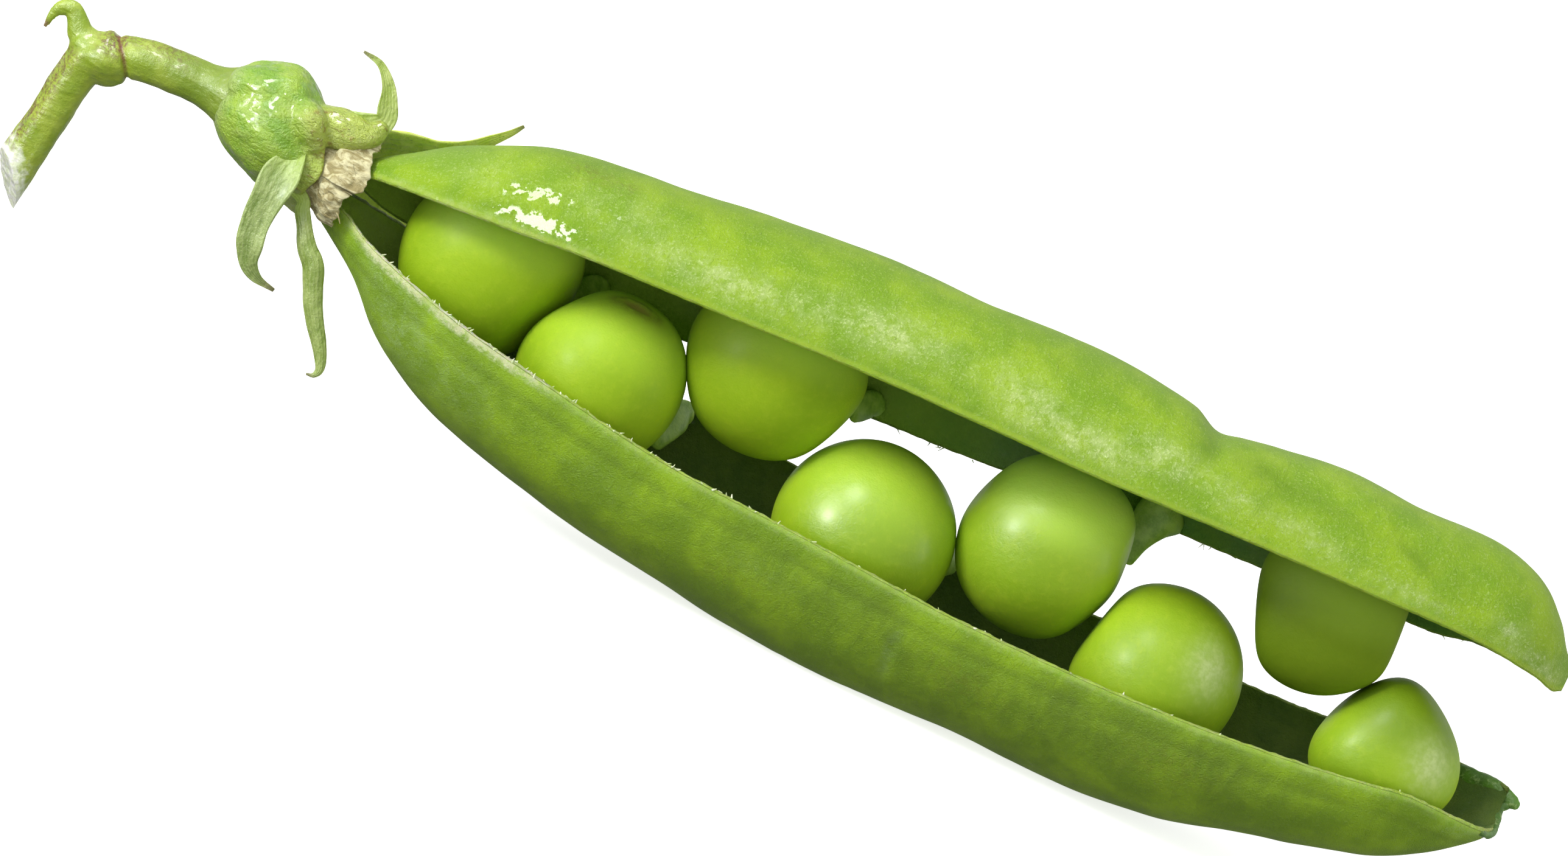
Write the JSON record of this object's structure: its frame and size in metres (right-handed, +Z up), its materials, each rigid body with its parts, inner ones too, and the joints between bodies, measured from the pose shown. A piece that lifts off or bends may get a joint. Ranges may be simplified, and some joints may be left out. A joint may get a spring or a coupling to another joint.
{
  "type": "pea pod",
  "caption": "Fresh pea pod split open along both seams, with round peas held on both valves, a calyx with pointed sepals, dried petals and a piece of stalk.",
  "frame": {"origin": "middle of the flat resting spot under the belly of the lower valve", "axes": "+X from the stalk to the tips of the valves, +Y from the open front to the back, +Z up"},
  "size_m": [0.0887, 0.0142, 0.0221],
  "materials": {
    "stalk": "satin",
    "calyx": "satin",
    "petals": "matte",
    "pod_wall": "satin",
    "pea": "satin"
  },
  "bodies": {
    "root": {"stem": "stalk", "calyx": "calyx", "withered_petals": "petals", "upper_valve": "pod_wall", "lower_valve": "pod_wall", "pea_1": "pea", "pea_2": "pea", "pea_3": "pea", "pea_4": "pea", "pea_5": "pea", "pea_6": "pea", "pea_7": "pea", "pea_8": "pea"}
  },
  "joints": []
}
